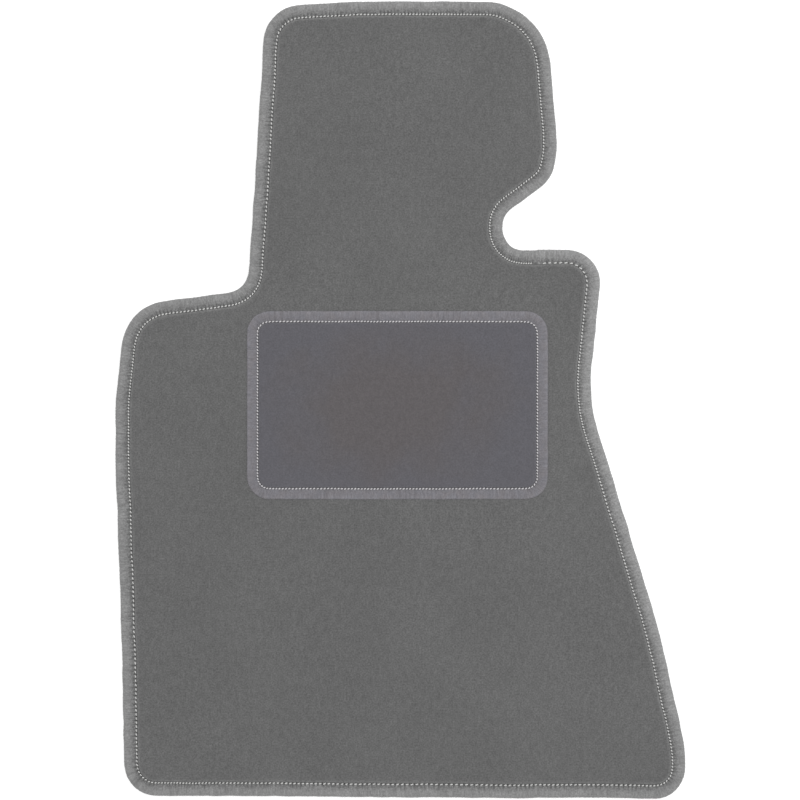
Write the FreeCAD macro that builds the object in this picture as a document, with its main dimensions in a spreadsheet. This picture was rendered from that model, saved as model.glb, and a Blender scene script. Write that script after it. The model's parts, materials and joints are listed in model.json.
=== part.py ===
import FreeCAD, Part
import math
import os

import Sketcher

# Tailored carpet mat for a driver's footwell, with a heel pad sewn on it.
# Millimetres. +Z is up, +Y runs forward to the pedals and +X runs to the centre tunnel.
# The origin is at the middle of the mat's overall length and width, on the floor.

SIZES = {
    # Overall size of the bound mat
    "mat_width": 536,
    "mat_length": 750,
    # Edge tape: its thickness, how far it covers the mat, and the rounding of its outer fold
    "tape_thickness": 0.9,
    "tape_flange": 13,
    "tape_fold_radius": 2.7,
    "tape_to_pile_gap": 0.3,
    # The tape's upper end laps over its lower end on the rear lip of the pedal notch
    "lap_inset": 139.5,
    "lap_length": 22,
    "lap_step": 0.4,
    # Layers of the mat
    "grip_thickness": 1.6,
    "backing_thickness": 0.8,
    "pile_height": 4.3,
    "pressed_pile": 1.9,
    "pile_crown_radius": 2.0,
    # Seams: each runs a margin in from the inner edge of its tape
    "thread_diameter": 0.6,
    "thread_clearance": 0.1,
    "seam_margin": 0.8,
    "seam_gap": 8.5,
    "seam_gap_inset": 140,
    # Heel pad
    "pad_left_inset": 124,
    "pad_right_inset": 129,
    "pad_setback": 291.5,
    "pad_length": 177,
    "pad_corner_radius": 20.5,
    "pad_tape_thickness": 0.6,
    "pad_flange": 10.6,
    "pad_fold_radius": 1.4,
    "pad_seam_margin": 0.8,
    "pad_backing_thickness": 0.8,
    "pad_pile_height": 2.2,
    "pad_pressed_pile": 1.2,
    "pad_crown_radius": 0.8,
    "pad_clearance": 0.3,
    "pile_under_pad": 2.3,
}

# Corners of the mat's outline, anticlockwise from the rear left, before they are rounded.
# Each stands an inset in from one side and a setback in from one end. A corner is rounded to
# a radius, or by a shallow arc that starts a reach away from it along both edges.
CORNERS = [
    ("rear_left", "left", 8, "rear", 2.8, "radius", 31),
    ("rear_right", "right", 0, "rear", 0, "radius", 28),
    ("flare_end", "right", 0, "rear", 47, "reach", 12),
    ("flare", "right", 22, "rear", 151, "reach", 65),
    ("waist", "right", 91.5, "front", 373, "reach", 31),
    ("lip", "right", 76, "front", 233, "radius", 31),
    ("notch_rear", "right", 171.5, "front", 234.5, "radius", 20),
    ("notch_front", "right", 172, "front", 201, "radius", 18),
    ("horn", "right", 124, "front", 167, "radius", 32),
    ("tab_bulge", "right", 120, "front", 130, "reach", 18),
    ("tab_right", "right", 132.5, "front", 0, "radius", 64),
    ("tab_front", "left", 215, "front", 0.8, "reach", 36),
    ("tab_left", "left", 141.5, "front", 6, "radius", 36),
    ("tab_root", "left", 125, "front", 271.5, "radius", 22),
    ("shoulder", "left", 10.5, "front", 286.5, "radius", 47),
    ("left_bulge", "left", -1.3, "front", 383, "reach", 52),
    ("left_low", "left", 7.5, "rear", 115, "reach", 40),
]
for corner, _, inset_size, _, setback_size, rounding, rounding_size in CORNERS:
    SIZES[corner + "_inset"] = inset_size
    SIZES[corner + "_setback"] = setback_size
    SIZES[corner + "_" + rounding] = rounding_size

# How far a cutting solid runs past what it cuts, how closely a level is matched, and how much of
# a slab's height a rounding may take: of one edge alone, and of each edge where both are rounded
OVERRUN = 1.0
LEVEL_MATCH = 1e-4
ONE_EDGE_SHARE = 0.9
TWO_EDGE_SHARE = 0.48

doc = FreeCAD.newDocument("footwell_mat")
sizes = doc.addObject("Spreadsheet::Sheet", "sizes")
for row, (alias, size) in enumerate(SIZES.items(), start=1):
    sizes.set(f"A{row}", alias)
    sizes.set(f"B{row}", str(size))
    sizes.setAlias(f"B{row}", alias)
doc.recompute()


def value(expression):
    """Number of millimetres that an expression on the sheet comes to."""
    return float(sizes.evalExpression(expression.replace("sizes.", "")))


# Sides and ends of the mat, and levels from the floor up
LEFT = "-sizes.mat_width / 2"
RIGHT = "sizes.mat_width / 2"
FRONT = "sizes.mat_length / 2"
REAR = "-sizes.mat_length / 2"
FLOOR = "0"
CORE_BASE = "sizes.tape_thickness"
GRIP_TOP = CORE_BASE + " + sizes.grip_thickness"
BACKING_TOP = GRIP_TOP + " + sizes.backing_thickness"
PRESSED_TOP = BACKING_TOP + " + sizes.pressed_pile"
TAPE_TOP = PRESSED_TOP + " + sizes.tape_thickness"
PILE_TOP = BACKING_TOP + " + sizes.pile_height"
PAD_BASE = BACKING_TOP + " + sizes.pile_under_pad"
PAD_CORE_BASE = PAD_BASE + " + sizes.pad_tape_thickness"
PAD_BACKING_TOP = PAD_CORE_BASE + " + sizes.pad_backing_thickness"
PAD_PRESSED_TOP = PAD_BACKING_TOP + " + sizes.pad_pressed_pile"
PAD_TAPE_TOP = PAD_PRESSED_TOP + " + sizes.pad_tape_thickness"
PAD_PILE_TOP = PAD_BACKING_TOP + " + sizes.pad_pile_height"
PAD_LEFT = LEFT + " + sizes.pad_left_inset"
PAD_RIGHT = RIGHT + " - sizes.pad_right_inset"
PAD_FRONT = FRONT + " - sizes.pad_setback"
PAD_REAR = PAD_FRONT + " - sizes.pad_length"

# How far in from the tapes' outer edges their seams run
SEAM_INSET = "(sizes.tape_flange - sizes.seam_margin)"
PAD_SEAM_INSET = "(sizes.pad_flange - sizes.pad_seam_margin)"

SIDES = {"left": LEFT + " +", "right": RIGHT + " -", "front": FRONT + " -", "rear": REAR + " +"}


def from_edge(edge, alias):
    """Place that stands a named distance in from a side or an end of the mat."""
    return f"{SIDES[edge]} sizes.{alias}"


def rounded_outline(name, corners):
    """Sketch of a closed outline, anticlockwise, with every corner rounded by a tangent arc.

    Each corner is (x, y, rounding, size): two expressions, "radius" or "reach", an expression."""
    count = len(corners)
    points = [FreeCAD.Vector(value(x), value(y), 0) for x, y, _, _ in corners]
    arcs = [arc_at(points[i - 1], points[i], points[(i + 1) % count], corners[i][2], value(corners[i][3]))
            for i in range(count)]
    sketch = doc.addObject("Sketcher::SketchObject", name)
    frame_lines = [sketch.addGeometry(Part.LineSegment(points[i], points[(i + 1) % count]), True)
                   for i in range(count)]
    for i in range(count):
        following = frame_lines[(i + 1) % count]
        sketch.addConstraint(Sketcher.Constraint("Coincident", frame_lines[i], 2, following, 1))
        for kind, expression, place in (("DistanceX", corners[i][0], points[i].x),
                                        ("DistanceY", corners[i][1], points[i].y)):
            number = sketch.addConstraint(Sketcher.Constraint(kind, -1, 1, frame_lines[i], 1, place))
            sketch.setExpression(f"Constraints[{number}]", expression)
    edges = []
    bends = []
    for i in range(count):
        start, finish = arcs[i]["after"], arcs[(i + 1) % count]["before"]
        edge = sketch.addGeometry(Part.LineSegment(start, finish), False)
        sketch.addConstraint(Sketcher.Constraint("PointOnObject", edge, 1, frame_lines[i]))
        sketch.addConstraint(Sketcher.Constraint("PointOnObject", edge, 2, frame_lines[i]))
        edges.append(edge)
        bends.append(sketch.addGeometry(arcs[i]["curve"], False))
    for i in range(count):
        # A sketch's arc runs anticlockwise, so on a hollow corner its ends change places
        incoming_end, outgoing_end = (1, 2) if arcs[i]["convex"] else (2, 1)
        sketch.addConstraint(Sketcher.Constraint("Tangent", edges[i - 1], 2, bends[i], incoming_end))
        sketch.addConstraint(Sketcher.Constraint("Tangent", edges[i], 1, bends[i], outgoing_end))
        if corners[i][2] == "radius":
            size = Sketcher.Constraint("Radius", bends[i], value(corners[i][3]))
        else:
            size = Sketcher.Constraint("Distance", frame_lines[i], 1, edges[i], 1, value(corners[i][3]))
        number = sketch.addConstraint(size)
        sketch.setExpression(f"Constraints[{number}]", corners[i][3])
    return sketch


def arc_at(before, corner, after, rounding, size):
    """Arc that rounds a corner: its curve, its two ends along the path, and whether it bulges out."""
    backward = (before - corner).normalize()
    forward = (after - corner).normalize()
    bisector = (backward + forward).normalize()
    half_angle = backward.getAngle(forward) / 2
    reach = size if rounding == "reach" else size / math.tan(half_angle)
    radius = reach * math.tan(half_angle)
    convex = (backward * -1).cross(forward).z > 0
    middle = corner + bisector * (radius / math.sin(half_angle) - radius)
    first, last = corner + backward * reach, corner + forward * reach
    curve = Part.Arc(first, middle, last) if convex else Part.Arc(last, middle, first)
    return {"curve": curve, "before": first, "after": last, "convex": convex}


def inset(name, outline, distance):
    """Closed curve at an even distance inside an outline."""
    curve = doc.addObject("Part::Offset2D", name)
    curve.Source = outline
    curve.setExpression("Value", f"-({distance})")
    return curve


def slab(name, outline, base, top):
    """Straight-walled slab of an outline between two levels."""
    solid = doc.addObject("Part::Extrusion", name)
    solid.Base = outline
    solid.DirMode = "Custom"
    solid.Dir = FreeCAD.Vector(0, 0, 1)
    solid.Solid = True
    solid.setExpression("LengthFwd", f"({top}) - ({base})")
    solid.setExpression(".Placement.Base.z", base)
    return solid


def rounded_slab(name, outline, base, top, radius, levels):
    """Slab whose edges at the named levels are rounded, by no more than its height allows."""
    block = slab(name + "_block", outline, base, top)
    doc.recompute()
    heights = [value(level) for level in levels]
    share = TWO_EDGE_SHARE if len(levels) > 1 else ONE_EDGE_SHARE
    size = min(value(radius), share * value(f"({top}) - ({base})"))
    rounded = doc.addObject("Part::Fillet", name)
    rounded.Base = block
    rounded.Edges = [(number, size, size) for number, edge in enumerate(block.Shape.Edges, start=1)
                     if any(lies_at(edge, height) for height in heights)]
    return rounded


def lies_at(edge, height):
    """Whether an edge lies flat at a height."""
    box = edge.BoundBox
    return abs(box.ZMin - height) < LEVEL_MATCH and abs(box.ZMax - height) < LEVEL_MATCH


def cut(name, base, tool):
    """What is left of one solid when another is taken out of it."""
    result = doc.addObject("Part::Cut", name)
    result.Base = base
    result.Tool = tool
    return result


def joined(name, *solids):
    """Several touching solids as one."""
    result = doc.addObject("Part::MultiFuse", name)
    result.Shapes = list(solids)
    result.Refine = True
    return result


def shared(name, *solids):
    """The space that several solids share."""
    result = doc.addObject("Part::MultiCommon", name)
    result.Shapes = list(solids)
    return result


def box(name, left, right, rear, front, base, top):
    """Square block between the six places given."""
    solid = doc.addObject("Part::Box", name)
    solid.setExpression("Length", f"({right}) - ({left})")
    solid.setExpression("Width", f"({front}) - ({rear})")
    solid.setExpression("Height", f"({top}) - ({base})")
    solid.setExpression(".Placement.Base.x", left)
    solid.setExpression(".Placement.Base.y", rear)
    solid.setExpression(".Placement.Base.z", base)
    return solid


def groove(name, outline, seam, base, top):
    """Ring that a seam's thread lies in, a clearance wider than the thread on each side."""
    half = "(sizes.thread_diameter / 2 + sizes.thread_clearance)"
    outer = slab(name + "_outer", inset(name + "_outer_curve", outline, f"{seam} - {half}"), base, top)
    inner = slab(name + "_inner", inset(name + "_inner_curve", outline, f"{seam} + {half}"), base, top)
    return cut(name, outer, inner)


def thread(name, path, start, across, height):
    """Thread swept round a closed path, from a place where the path runs straight forward."""
    section = doc.addObject("Part::Circle", name + "_section")
    section.setExpression("Radius", "sizes.thread_diameter / 2")
    section.Placement.Rotation = FreeCAD.Rotation(FreeCAD.Vector(1, 0, 0), 90)
    section.setExpression(".Placement.Base.x", across)
    section.setExpression(".Placement.Base.y", start)
    doc.recompute()
    swept = doc.addObject("Part::Sweep", name)
    swept.Sections = [section]
    swept.Spine = (path, [f"Edge{number}" for number in range(1, len(path.Shape.Edges) + 1)])
    swept.Solid = True
    swept.Frenet = False
    swept.setExpression(".Placement.Base.z", height)
    return swept


def part(solid, label):
    """Marks a finished piece, and gives it the name that its file takes."""
    solid.Label = label
    PARTS.append(solid)


PARTS = []

# Outlines
mat_outline = rounded_outline("mat_outline", [
    (from_edge(side, name + "_inset"), from_edge(end, name + "_setback"), kind, f"sizes.{name}_{kind}")
    for name, side, _, end, _, kind, _ in CORNERS])
pad_outline = rounded_outline("pad_outline", [
    (x, y, "radius", "sizes.pad_corner_radius")
    for x, y in ((PAD_LEFT, PAD_REAR), (PAD_RIGHT, PAD_REAR), (PAD_RIGHT, PAD_FRONT), (PAD_LEFT, PAD_FRONT))])
doc.recompute()

# Whole stack of the mat, inside its tape
core_curve = inset("core_curve", mat_outline, "sizes.tape_thickness")
core = rounded_slab("core", core_curve, CORE_BASE, PRESSED_TOP,
                    "sizes.tape_fold_radius - sizes.tape_thickness", (CORE_BASE, PRESSED_TOP))
field_curve = inset("field_curve", mat_outline, "sizes.tape_flange + sizes.tape_to_pile_gap")

# Edge binding: tape folded over the mat's edge, its ends lapped, with a groove under each seam
tape_fold = rounded_slab("tape_fold", mat_outline, FLOOR, TAPE_TOP,
                         "sizes.tape_fold_radius", (FLOOR, TAPE_TOP))
tape_window_curve = inset("tape_window_curve", mat_outline, "sizes.tape_flange")
tape_window = slab("tape_window", tape_window_curve, f"{FLOOR} - {OVERRUN}", f"{TAPE_TOP} + {OVERRUN}")
thread_seat = "sizes.thread_diameter / 2 + sizes.thread_clearance"
needle_groove = groove("needle_groove", mat_outline, SEAM_INSET,
                       f"{TAPE_TOP} - ({thread_seat})", f"{TAPE_TOP} + {OVERRUN}")
bobbin_groove = groove("bobbin_groove", mat_outline, SEAM_INSET,
                       f"{FLOOR} - {OVERRUN}", "sizes.thread_diameter + sizes.thread_clearance")
lap_curve = inset("lap_curve", mat_outline, "-sizes.lap_step")
lap_fold = rounded_slab("lap_fold", lap_curve, FLOOR, f"{TAPE_TOP} + sizes.lap_step",
                        "sizes.tape_fold_radius + sizes.lap_step", (FLOOR, f"{TAPE_TOP} + sizes.lap_step"))
lap_left = f"{RIGHT} - sizes.lap_inset"
lap_rear = f"{FRONT} - sizes.notch_rear_setback - {SEAM_INSET} + {thread_seat}"
lap_box = box("lap_box", lap_left, f"{lap_left} + sizes.lap_length",
              lap_rear, f"{FRONT} - sizes.lip_setback + {OVERRUN}", FLOOR, f"{TAPE_TOP} + {OVERRUN}")
tape_whole = joined("tape_whole", tape_fold, shared("tape_lap", lap_fold, lap_box))
tape_hollow = cut("tape_hollow", tape_whole, core)
tape_open = cut("tape_open", tape_hollow, tape_window)
tape_seamed = cut("tape_seamed", tape_open, needle_groove)
part(cut("edge_binding", tape_seamed, bobbin_groove), "edge_binding")

# Grip sheet: its edge is held in the tape and its middle stands down to the floor
grip_edge = shared("grip_edge", core, slab("grip_level", mat_outline, CORE_BASE, GRIP_TOP))
grip_foot = slab("grip_foot", field_curve, FLOOR, CORE_BASE)
grip_whole = joined("grip_whole", grip_edge, grip_foot)
pad_bobbin_groove = groove("pad_bobbin_groove", pad_outline, PAD_SEAM_INSET,
                           f"{FLOOR} - {OVERRUN}", CORE_BASE)
part(cut("grip_backing", grip_whole, pad_bobbin_groove), "grip_backing")

# Primary backing: the sheet that the pile is tufted into
backing_level = slab("backing_level", mat_outline, GRIP_TOP, BACKING_TOP)
part(shared("primary_backing", core, backing_level), "primary_backing")

# Pile: pressed flat under the tape, full height inside it, and pressed again under the heel pad
pile_edge = shared("pile_edge", core, slab("pile_level", mat_outline, BACKING_TOP, PRESSED_TOP))
pile_field = rounded_slab("pile_field", field_curve, BACKING_TOP, PILE_TOP,
                          "sizes.pile_crown_radius", (PILE_TOP,))
pile_whole = joined("pile_whole", pile_edge, pile_field)
pad_recess_curve = inset("pad_recess_curve", pad_outline, "-sizes.pad_clearance")
pad_recess = slab("pad_recess", pad_recess_curve, PAD_BASE, f"{PILE_TOP} + {OVERRUN}")
part(cut("velour_pile", pile_whole, pad_recess), "velour_pile")

# Heel pad: its own backing and short pile, bound with a narrower tape
pad_core_curve = inset("pad_core_curve", pad_outline, "sizes.pad_tape_thickness")
pad_core = rounded_slab("pad_core", pad_core_curve, PAD_CORE_BASE, PAD_PRESSED_TOP,
                        "sizes.pad_fold_radius - sizes.pad_tape_thickness", (PAD_CORE_BASE, PAD_PRESSED_TOP))
pad_fold = rounded_slab("pad_fold", pad_outline, PAD_BASE, PAD_TAPE_TOP, "sizes.pad_fold_radius",
                        (PAD_BASE, PAD_TAPE_TOP))
pad_window_curve = inset("pad_window_curve", pad_outline, "sizes.pad_flange")
pad_window = slab("pad_window", pad_window_curve, f"{PAD_BASE} - {OVERRUN}", f"{PAD_TAPE_TOP} + {OVERRUN}")
pad_needle_groove = groove("pad_needle_groove", pad_outline, PAD_SEAM_INSET,
                           f"{PAD_TAPE_TOP} - ({thread_seat})", f"{PAD_TAPE_TOP} + {OVERRUN}")
pad_tape_hollow = cut("pad_tape_hollow", pad_fold, pad_core)
pad_tape_open = cut("pad_tape_open", pad_tape_hollow, pad_window)
part(cut("heel_pad_binding", pad_tape_open, pad_needle_groove), "heel_pad_binding")

pad_field_curve = inset("pad_field_curve", pad_outline, "sizes.pad_flange + sizes.tape_to_pile_gap")
pad_backing_edge = shared("pad_backing_edge", pad_core,
                          slab("pad_backing_level", pad_outline, PAD_CORE_BASE, PAD_BACKING_TOP))
pad_backing_foot = slab("pad_backing_foot", pad_field_curve, PAD_BASE, PAD_CORE_BASE)
part(joined("heel_pad_backing", pad_backing_edge, pad_backing_foot), "heel_pad_backing")

pad_pile_edge = shared("pad_pile_edge", pad_core,
                       slab("pad_pile_level", pad_outline, PAD_BACKING_TOP, PAD_PRESSED_TOP))
pad_pile_field = rounded_slab("pad_pile_field", pad_field_curve, PAD_BACKING_TOP, PAD_PILE_TOP,
                              "sizes.pad_crown_radius", (PAD_PILE_TOP,))
part(joined("heel_pad_pile", pad_pile_edge, pad_pile_field), "heel_pad_pile")

# Threads: a lockstitch has a needle thread on top and a bobbin thread underneath.
# Each runs from a place where its path lies straight along the mat.
mat_seam_path = inset("mat_seam_path", mat_outline, SEAM_INSET)
mat_seam_start = f"{REAR} + (sizes.rear_right_radius + sizes.flare_end_setback - sizes.flare_end_reach) / 2"
mat_seam_across = f"{RIGHT} - {SEAM_INSET}"
pad_seam_path = inset("pad_seam_path", pad_outline, PAD_SEAM_INSET)
pad_seam_start = f"{PAD_REAR} + sizes.pad_length / 2"
pad_seam_across = f"{PAD_RIGHT} - {PAD_SEAM_INSET}"
gap_left = f"{RIGHT} - sizes.seam_gap_inset - sizes.seam_gap / 2"
gap_rear = f"{FRONT} - sizes.notch_rear_setback - {SEAM_INSET} - {OVERRUN}"
seam_break = box("seam_break", gap_left, f"{gap_left} + sizes.seam_gap", gap_rear,
                 f"{FRONT} - sizes.notch_rear_setback", f"{FLOOR} - {OVERRUN}", PILE_TOP)
needle_ring = thread("edge_needle_ring", mat_seam_path, mat_seam_start, mat_seam_across, TAPE_TOP)
part(cut("edge_needle_thread", needle_ring, seam_break), "edge_needle_thread")
bobbin_ring = thread("edge_bobbin_ring", mat_seam_path, mat_seam_start, mat_seam_across,
                     "sizes.thread_diameter / 2 + sizes.thread_clearance / 2")
part(cut("edge_bobbin_thread", bobbin_ring, seam_break), "edge_bobbin_thread")
part(thread("heel_pad_needle_thread", pad_seam_path, pad_seam_start, pad_seam_across, PAD_TAPE_TOP),
     "heel_pad_needle_thread")
part(thread("heel_pad_bobbin_thread", pad_seam_path, pad_seam_start, pad_seam_across,
            f"{CORE_BASE} - ({thread_seat})"), "heel_pad_bobbin_thread")

doc.recompute()
for item in doc.Objects:
    if "Invalid" in item.State or "Error" in item.State:
        raise RuntimeError(f"{item.Name} failed: {item.State}")
for piece in PARTS:
    if piece.Shape.isNull() or not piece.Shape.isValid() or not piece.Shape.Solids:
        raise RuntimeError(f"{piece.Label} has no valid solid")

os.makedirs("parts", exist_ok=True)
for piece in PARTS:
    piece.Shape.exportStep(os.path.join("parts", piece.Label + ".step"))
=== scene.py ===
import json

import bpy
import numpy as np
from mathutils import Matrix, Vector
from mathutils.geometry import delaunay_2d_cdt
from mathutils.kdtree import KDTree

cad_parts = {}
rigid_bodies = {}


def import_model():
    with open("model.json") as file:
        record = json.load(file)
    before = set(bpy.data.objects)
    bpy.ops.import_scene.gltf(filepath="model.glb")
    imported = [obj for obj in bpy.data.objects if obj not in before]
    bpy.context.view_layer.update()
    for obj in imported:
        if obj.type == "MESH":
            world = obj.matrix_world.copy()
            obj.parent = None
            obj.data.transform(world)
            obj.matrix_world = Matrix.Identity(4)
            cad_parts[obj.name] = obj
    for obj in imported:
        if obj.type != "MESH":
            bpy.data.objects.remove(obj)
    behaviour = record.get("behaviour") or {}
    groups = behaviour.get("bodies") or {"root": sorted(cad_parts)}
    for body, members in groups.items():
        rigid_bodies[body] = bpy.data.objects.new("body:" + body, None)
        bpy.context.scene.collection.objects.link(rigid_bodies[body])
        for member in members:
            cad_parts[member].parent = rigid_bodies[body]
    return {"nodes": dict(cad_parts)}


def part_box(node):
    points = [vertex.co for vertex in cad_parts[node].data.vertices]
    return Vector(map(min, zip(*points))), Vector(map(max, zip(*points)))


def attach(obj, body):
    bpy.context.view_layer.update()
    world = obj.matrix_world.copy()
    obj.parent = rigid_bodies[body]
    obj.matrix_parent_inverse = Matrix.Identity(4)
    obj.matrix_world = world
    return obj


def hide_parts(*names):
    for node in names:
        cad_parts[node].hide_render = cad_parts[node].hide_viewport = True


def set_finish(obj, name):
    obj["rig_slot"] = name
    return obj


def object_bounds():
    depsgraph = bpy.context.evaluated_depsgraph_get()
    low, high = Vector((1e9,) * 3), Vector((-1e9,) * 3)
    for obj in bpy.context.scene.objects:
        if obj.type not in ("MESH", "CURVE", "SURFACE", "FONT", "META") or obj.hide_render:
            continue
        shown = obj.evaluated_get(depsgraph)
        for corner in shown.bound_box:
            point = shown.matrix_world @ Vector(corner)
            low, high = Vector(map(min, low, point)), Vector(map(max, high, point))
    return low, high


# Looks of a tailored carpet mat for a driver's footwell. Metres, in the frame's own axes:
# +Z up, +Y forward, +X towards the centre tunnel. The mat lies on the floor at z = 0.

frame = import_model()
cad_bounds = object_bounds()

MM = 0.001
BODY = "root"
SEED = 7
ALONG_MAP = "along_across"
STITCH_MAP = "stitch_inset"

# ===== Levels and sizes, from the frame's nodes =====


def low(node):
    """Lowest level of a CAD node."""
    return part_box(node)[0].z


def high(node):
    """Highest level of a CAD node."""
    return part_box(node)[1].z


PILE_TOP = high("velour_pile")
PILE_BASE = low("velour_pile")
BACKING_BASE = low("primary_backing")
BACKING_TOP = high("primary_backing")
GRIP_TOP = high("grip_backing")
PAD_BASE = low("heel_pad_binding")
PAD_TAPE_TOP = high("heel_pad_binding")
PAD_PILE_TOP = high("heel_pad_pile")
PAD_PILE_BASE = low("heel_pad_pile")

# The edge tape and the heel pad's tape. flange is how far in the tape reaches and seam is where it
# is sewn. crown is how far its middle swells, and draw is how far the seam pulls it down: dimple
# more at each needle hole, and pucker more in the cloth beside it. puff is how unevenly the fold
# stands out, and pleat is how deep the folds in tight bends are. top and base are its levels.
TAPE = {"thickness": 0.9 * MM, "flange": 13.3 * MM, "seam": 12.4 * MM, "crown": 0.30 * MM,
        "draw": 0.90 * MM, "dimple": 0.55 * MM, "pucker": 0.45 * MM, "puff": 0.28 * MM,
        "pleat": 0.45 * MM, "top": low("edge_needle_thread") + 0.3 * MM, "base": 0.0}
PAD_TAPE = {"thickness": 0.6 * MM, "flange": 10.8 * MM, "seam": 10.05 * MM, "crown": 0.20 * MM,
            "draw": 0.40 * MM, "dimple": 0.40 * MM, "pucker": 0.22 * MM, "puff": 0.12 * MM,
            "pleat": 0.60 * MM, "top": PAD_TAPE_TOP, "base": PAD_BASE}

# ===== Curves round the mat and the heel pad =====

# How closely a curve is followed, and over how long a stretch its corners are evened out
STEP = 0.5 * MM
ROUNDING = 3.0 * MM
BEND_REACH = 4 * MM
LEVEL_MATCH = 0.01 * MM
PLACE_MATCH = 0.001 * MM


def signed_area(line):
    """Area inside a closed line, negative where it runs clockwise."""
    following = np.roll(line, -1, axis=0)
    return (line[:, 0] * following[:, 1] - line[:, 1] * following[:, 0]).sum() / 2


def top_loop(node):
    """Outline of the flat top face of a CAD sheet, anticlockwise."""
    mesh = frame["nodes"][node].data
    places = np.array([v.co for v in mesh.vertices])
    level = places[:, 2].max()
    keys = [tuple(np.round(p[:2] / PLACE_MATCH).astype(int)) for p in places]
    count = {}
    for face in mesh.polygons:
        if all(abs(places[v][2] - level) < LEVEL_MATCH for v in face.vertices):
            corners = [keys[v] for v in face.vertices]
            for a, b in zip(corners, corners[1:] + corners[:1]):
                count[frozenset((a, b))] = count.get(frozenset((a, b)), 0) + 1
    neighbours = {}
    for pair, times in count.items():
        if times == 1:
            a, b = tuple(pair)
            neighbours.setdefault(a, []).append(b)
            neighbours.setdefault(b, []).append(a)
    start = min(neighbours)
    loop, before, here = [start], None, start
    while True:
        ahead = [n for n in neighbours[here] if n != before][0]
        if ahead == start:
            break
        loop.append(ahead)
        before, here = here, ahead
    loop = np.array(loop) * PLACE_MATCH
    return loop if signed_area(loop) > 0 else loop[::-1]


def evenly(points, step):
    """Closed line of points, resampled at an even step."""
    closed = np.vstack([points, points[:1]])
    along = np.concatenate([[0], np.cumsum(np.linalg.norm(np.diff(closed, axis=0), axis=1))])
    wanted = np.linspace(0, along[-1], int(along[-1] / step), endpoint=False)
    return np.stack([np.interp(wanted, along, closed[:, k]) for k in (0, 1)], axis=1)


def rounded(points, radius, step):
    """Closed line of points, smoothed over a radius so that its bends run on evenly."""
    reach = int(4 * radius / step)
    offsets = np.arange(-reach, reach + 1)
    weights = np.exp(-0.5 * (offsets * step / radius) ** 2)
    weights /= weights.sum()
    return sum(w * np.roll(points, -o, axis=0) for w, o in zip(weights, offsets))


class Edge:
    """Smooth closed curve round a sheet, anticlockwise, measured in metres along it from a start.
    sway is how far the hand-fed edge wanders to each side."""

    def __init__(self, node, outset, start, sway):
        points = rounded(evenly(top_loop(node), STEP), ROUNDING, STEP)
        outsets = outset - sway * (wander(points, 34 * MM) + 0.5 * wander(points, 13 * MM))
        points = evenly(points + self.normals(points) * outsets[:, None], STEP)
        first = np.argmin(np.linalg.norm(points - np.array(start), axis=1))
        self.points = np.roll(points, -first, axis=0)
        self.outward = self.normals(self.points)
        steps = np.linalg.norm(np.roll(self.points, -1, axis=0) - self.points, axis=1)
        self.length = steps.sum()
        self.along = np.concatenate([[0], np.cumsum(steps)])
        self.tree = KDTree(len(self.points))
        for number, (x, y) in enumerate(self.points.tolist()):
            self.tree.insert((x, y, 0.0), number)
        self.tree.balance()

    @staticmethod
    def normals(points):
        tangent = np.roll(points, -1, axis=0) - np.roll(points, 1, axis=0)
        tangent /= np.linalg.norm(tangent, axis=1, keepdims=True)
        return np.stack([tangent[:, 1], -tangent[:, 0]], axis=1)

    def at(self, along, values):
        """What values given at the curve's points come to at distances along it."""
        return np.interp(np.mod(along, self.length), self.along, np.append(values, values[0]))

    def bend(self, along):
        """How tightly the curve bends at distances along it: one over its radius in metres."""
        reach = int(BEND_REACH / STEP)
        turned = np.roll(self.outward, -reach, axis=0) - np.roll(self.outward, reach, axis=0)
        return self.at(along, np.linalg.norm(turned, axis=1) / (2 * reach * STEP))

    def place(self, along, inset):
        """Points that lie an inset inside the curve, at distances along it. Each may have its own inset."""
        on, out = (np.stack([self.at(along, values[:, k]) for k in (0, 1)], axis=-1)
                   for values in (self.points, self.outward))
        out /= np.linalg.norm(out, axis=-1, keepdims=True)
        return on - out * np.asarray(inset)[..., None]

    def nearest(self, points):
        """How far along the curve each of these points lies, and how far inside it."""
        found = np.array([self.tree.find((x, y, 0.0))[1] for x, y in points.tolist()])
        gaps = points - self.points[found]
        side = (gaps * self.outward[found]).sum(axis=1)
        return self.along[found], -np.sign(side) * np.linalg.norm(gaps, axis=1)


# ===== Smooth noise for geometry =====

NOISE_SIZE = 256
NOISE_TABLE = np.random.default_rng(SEED).uniform(-1, 1, (NOISE_SIZE, NOISE_SIZE))
# Cells that every place is moved on by, so that none falls before the start of the table
NOISE_SHIFT = 100.0
# Cells between one row of noise along a line and the next
ROW_SPACING = 7.31


def wander(points, cell):
    """Smooth noise from -1 to 1 over a plane, with lumps about a cell across."""
    grid = points / cell + NOISE_SHIFT
    corner = np.floor(grid).astype(int)
    part = grid - corner
    part = part * part * (3 - 2 * part)
    x, y = part[..., 0], part[..., 1]
    i, j = corner[..., 0] % NOISE_SIZE, corner[..., 1] % NOISE_SIZE
    next_i, next_j = (i + 1) % NOISE_SIZE, (j + 1) % NOISE_SIZE
    near = NOISE_TABLE[i, j] * (1 - x) + NOISE_TABLE[next_i, j] * x
    far = NOISE_TABLE[i, next_j] * (1 - x) + NOISE_TABLE[next_i, next_j] * x
    return near * (1 - y) + far * y


def wander_along(along, cell, row):
    """Smooth noise along a line. Each row of it is different."""
    across = np.full(np.shape(along), row * ROW_SPACING * cell)
    return wander(np.stack([along, across], axis=-1), cell)


def smoothstep(start, finish, x):
    t = np.clip((x - start) / (finish - start), 0, 1)
    return t * t * (3 - 2 * t)


# ===== Seams: where the stitches fall along an edge =====


# Distance between cross-sections of a tape where it isn't sewn
BARE_STEP = 0.8 * MM


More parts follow.
